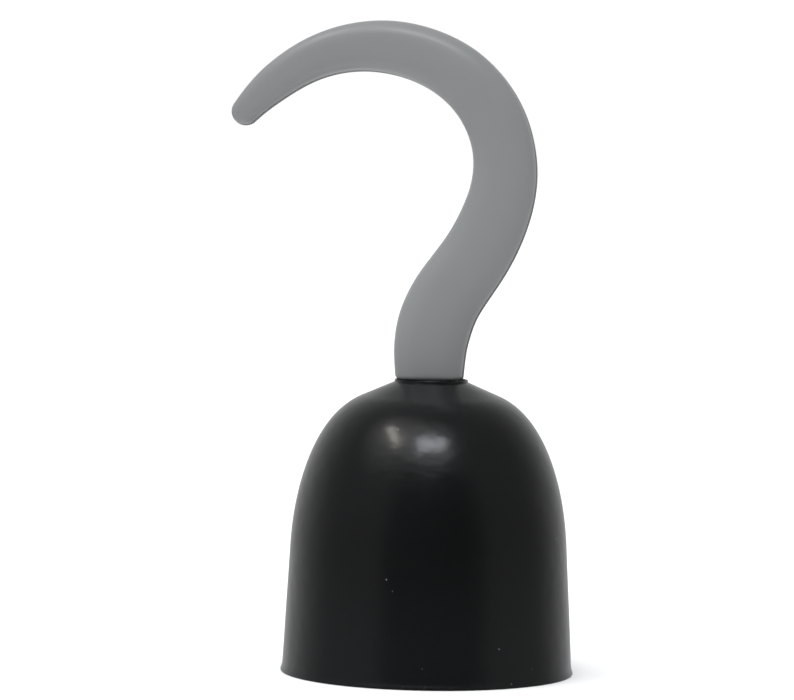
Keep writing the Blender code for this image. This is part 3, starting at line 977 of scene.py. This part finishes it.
def add_camera(stage):
    """A camera in front of the cup, a little to the right, aimed near the object's middle."""
    optics = bpy.data.cameras.new("camera")
    optics.lens = stage.lens
    optics.sensor_width = 36
    optics.clip_end = 200
    camera = put_in_scene("camera", optics)
    aside, back = math.sin(stage.azimuth), math.cos(stage.azimuth)
    camera.location = (AXIS_X + stage.distance * aside, -stage.distance * back, stage.height)
    target = (AXIS_X - stage.aim_side * back, -stage.aim_side * aside, stage.aim_height)
    aim(camera, target, stage.roll)
    bpy.context.scene.camera = camera


def direction(azimuth, elevation):
    """The way to a place in the studio. Azimuth 0 is in front, 90 to the right."""
    turn, rise = math.radians(azimuth), math.radians(elevation)
    return Vector(
        (math.sin(turn) * math.cos(rise), -math.cos(turn) * math.cos(rise), math.sin(rise))
    )


def add_panel(name, azimuth, elevation, distance, size, roll, power, tint):
    """A rectangular lamp that faces the dome, turned about its own axis by roll degrees."""
    target = Vector((AXIS_X, 0, 0.10))
    lamp = bpy.data.lights.new(name, "AREA")
    lamp.shape = "RECTANGLE"
    lamp.size, lamp.size_y = size
    lamp.energy = power
    lamp.color = tint
    thing = put_in_scene(name, lamp)
    thing.location = target + direction(azimuth, elevation) * distance
    thing.visible_camera = False
    aim(thing, target, math.radians(roll))


def add_floor():
    """A wide pale floor, clear from below, that doesn't show in the gloss."""
    finish = Finish("floor_paper", Specular_IOR_Level=0.0)
    mottle = finish.noise(0.4, 3)
    finish.set(
        Base_Color=finish.between(mottle, (0.93, 0.93, 0.93), (0.95, 0.95, 0.95)),
        Roughness=0.9,
    )
    clear = finish.add("ShaderNodeBsdfTransparent", {}, {})
    below = finish.add("ShaderNodeNewGeometry", {}, {}).outputs["Backfacing"]
    mixed = finish.add(
        "ShaderNodeMixShader", {}, {0: below, 1: finish.shader.outputs[0], 2: clear.outputs[0]}
    )
    finish.show(mixed)
    ring = polar(STUDIO_RADIUS, full_turn(), 0.0)
    mesh = bpy.data.meshes.new("studio_floor")
    mesh.from_pydata(ring.tolist(), [], [list(range(AROUND))])
    mesh.materials.append(finish.material)
    floor = put_in_scene("studio_floor", mesh)
    floor.visible_glossy = False


def add_backdrop():
    """A plain white dome round the studio, seen by the camera alone, that lights nothing."""
    bpy.ops.mesh.primitive_uv_sphere_add(segments=96, ring_count=48, radius=STUDIO_RADIUS)
    dome = bpy.context.object
    dome.name = "white_backdrop"
    dome.visible_diffuse = dome.visible_glossy = dome.visible_shadow = False
    dome.visible_transmission = dome.visible_volume_scatter = False
    finish = Finish("white_backdrop")
    finish.material.cycles.emission_sampling = "NONE"
    glow = finish.add("ShaderNodeEmission", {}, {"Color": (1, 1, 1), "Strength": 1.02})
    finish.show(glow)
    dome.data.materials.append(finish.material)


def add_world():
    """The room's light, by direction: dark in front, pale behind and below, dimmer overhead.

    It goes in soft steps with the cosine of the direction's angle from the back of the room, from
    straight up and from straight down, and it glows softly round the two panels.
    """
    glows = ((2, 56, 0.88, 0.65), (-52, 56, 0.86, 0.65))  # direction, cosine at its edge, strength
    world = bpy.data.worlds.new("studio")
    bpy.context.scene.world = world
    world.use_nodes = True
    room = Nodes(world.node_tree, "Background", "Generated")
    back = room.toward(-0.17, 0.985, 0)
    overhead = room.toward(0, 0, 1).step(0.15, 0.85)
    light = 0.022 + back.step(-0.86, -0.62) * 0.15
    light = light + back.step(0.0, 1.1) * 0.52 * (1 - overhead * 0.5)
    light = light + room.toward(0, 0, -1).step(0.45, 0.95) * 0.75
    for azimuth, elevation, edge, glow in glows:
        light = light + room.toward(*direction(azimuth, elevation)).step(edge, 1.0) * glow
    room.set(Color=(0.985, 0.99, 1.0), Strength=light)


def add_sun(name, place, energy, spread, tint):
    """Light from the way of a place, spread over an angle in degrees, that no gloss shows."""
    sun = bpy.data.lights.new(name, "SUN")
    sun.energy = energy
    sun.angle = math.radians(spread)
    sun.color = tint
    thing = put_in_scene(name, sun)
    thing.location = place
    thing.visible_glossy = False
    aim(thing, (0, 0, 0))


def add_under_glow():
    """A disc of light under the mouth that shows the grip when the cup is seen from below."""
    lamp = bpy.data.lights.new("under_glow", "AREA")
    lamp.shape = "DISK"
    lamp.size = 0.1
    lamp.energy = 0.04
    thing = put_in_scene("under_glow", lamp)
    thing.location = (AXIS_X, 0, 1 * MM)
    thing.visible_camera = False
    aim(thing, (AXIS_X, 0.1 * MM, 1))  # not quite straight up, where no way is its top


def add_lights():
    """Three broad suns for the soft light, two panels for the highlights, and the glow below."""
    add_sun("soft_top_left", (-0.45, -0.25, 0.86), 1.95, 95, (0.95, 0.98, 1.0))
    add_sun("soft_top_back", (0.2, 0.5, 1.2), 1.2, 90, (1.0, 1.0, 1.0))
    add_sun("soft_right", (1.0, 0.1, 0.8), 0.45, 80, (1.0, 0.99, 0.97))
    add_panel("key_panel", 7, 54, 1.5, (0.60, 0.28), 0, 4.0, (0.90, 0.95, 1.0))
    add_panel("side_panel", -52, 56, 1.5, (0.11, 0.60), 62, 2.2, (1.0, 0.95, 0.87))
    add_under_glow()


# ------------------------------------------------ operators and panel


class HOOKHAND_OT_cup(bpy.types.Operator):
    """Make the black hand cup"""

    bl_idname = "hookhand.cup"
    bl_label = "Cup"

    def execute(self, context):
        mesh = make_cup_mesh(context.scene.hook_hand_cup)
        material = ready_material("black_gloss_plastic", black_plastic)
        add_piece("cup_moulding", mesh, "cup", material, ["cup_shell"])
        return {"FINISHED"}


class HOOKHAND_OT_hook(bpy.types.Operator):
    """Make the two halves of the grey hook, and the spigot and key under it"""

    bl_idname = "hookhand.hook"
    bl_label = "Hook"

    def execute(self, context):
        hook = context.scene.hook_hand_hook
        material = ready_material("grey_satin_plastic", grey_plastic)
        front = hook_half("hook_front", -1, hook)
        rear = hook_half("hook_rear", 1, hook)
        rear = combined(rear, [screw_well(*place) for place in screw_places()], "DIFFERENCE")
        add_piece("hook_front", front, "hook", material, ["hook_front_half"])
        add_piece("hook_rear", rear, "hook", material, ["hook_rear_half"])
        add_piece("hook_spigot", make_spigot_mesh(), "hook", material)
        return {"FINISHED"}


class HOOKHAND_OT_grip(bpy.types.Operator):
    """Make the T grip and the plugs in the ends of its bar"""

    bl_idname = "hookhand.grip"
    bl_label = "Grip"

    def execute(self, context):
        grip = context.scene.hook_hand_grip
        material = ready_material("grey_satin_plastic", grey_plastic)
        mesh = make_grip_mesh(grip)
        add_piece("grip_moulding", mesh, "hook", material, ["grip_handle"], 28)
        for side, end in ((-1, "left"), (1, "right")):
            name = f"grip_plug_{end}"
            mesh = make_plug_mesh(name, side, grip)
            add_piece(name, mesh, "hook", material, [f"grip_end_plug_{end}"])
        return {"FINISHED"}


class HOOKHAND_OT_fasteners(bpy.types.Operator):
    """Make the screws and the two washers"""

    bl_idname = "hookhand.fasteners"
    bl_label = "Screws and washers"

    def execute(self, context):
        steel = ready_material("zinc_plated_steel", zinc_steel)
        for index in range(1, 5):
            node = f"hook_screw_{index}"
            name = f"hook_screw_steel_{index}"
            mesh = make_screw_mesh(name, node, 1, 1, HOOK_SCREW)
            add_piece(name, mesh, "hook", steel, [node])
        mesh = make_screw_mesh("grip_screw_steel", "grip_screw", 2, -1, GRIP_SCREW)
        add_piece("grip_screw_steel", mesh, "hook", steel, ["grip_screw"])
        mesh = make_washer_mesh("grip_washer_steel", "grip_screw_washer", 2.25 * MM)
        add_piece("grip_washer_steel", mesh, "hook", steel, ["grip_screw_washer"])
        nylon = ready_material("natural_nylon", nylon_plastic)
        mesh = make_washer_mesh("neck_washer_nylon", "neck_washer", 8.9 * MM)
        add_piece("neck_washer_nylon", mesh, "cup", nylon, ["neck_washer"])
        return {"FINISHED"}


class HOOKHAND_OT_stage(bpy.types.Operator):
    """Make the floor, the surroundings, the lamps and the camera"""

    bl_idname = "hookhand.stage"
    bl_label = "Stage"

    def execute(self, context):
        context.scene.view_settings.view_transform = "Standard"
        add_floor()
        add_backdrop()
        add_world()
        add_lights()
        add_camera(context.scene.hook_hand_stage)
        return {"FINISHED"}


OPERATORS = (
    HOOKHAND_OT_cup,
    HOOKHAND_OT_hook,
    HOOKHAND_OT_grip,
    HOOKHAND_OT_fasteners,
    HOOKHAND_OT_stage,
)


class HOOKHAND_PT_sidebar(bpy.types.Panel):
    """The hook hand's pieces and their sizes."""

    bl_label = "Hook Hand"
    bl_idname = "HOOKHAND_PT_sidebar"
    bl_space_type = "VIEW_3D"
    bl_region_type = "UI"
    bl_category = "Hook Hand"

    def draw(self, context):
        column = self.layout.column(align=True)
        for operator in OPERATORS:
            column.operator(operator.bl_idname)
        for key, group in GROUPS.items():
            box = self.layout.box()
            box.label(text=group.__doc__)
            for name in group.__annotations__:
                box.prop(getattr(context.scene, key), name)


CLASSES = (*GROUPS.values(), *OPERATORS, HOOKHAND_PT_sidebar)


def register():
    for cls in CLASSES:
        bpy.utils.register_class(cls)
    for key, group in GROUPS.items():
        setattr(bpy.types.Scene, key, PointerProperty(type=group))


def unregister():
    for key in GROUPS:
        delattr(bpy.types.Scene, key)
    for cls in reversed(CLASSES):
        bpy.utils.unregister_class(cls)


def main():
    """Registers the classes, then makes everything in order."""
    register()
    bpy.ops.hookhand.cup()
    bpy.ops.hookhand.hook()
    bpy.ops.hookhand.grip()
    bpy.ops.hookhand.fasteners()
    bpy.ops.hookhand.stage()


if __name__ == "__main__":
    main()
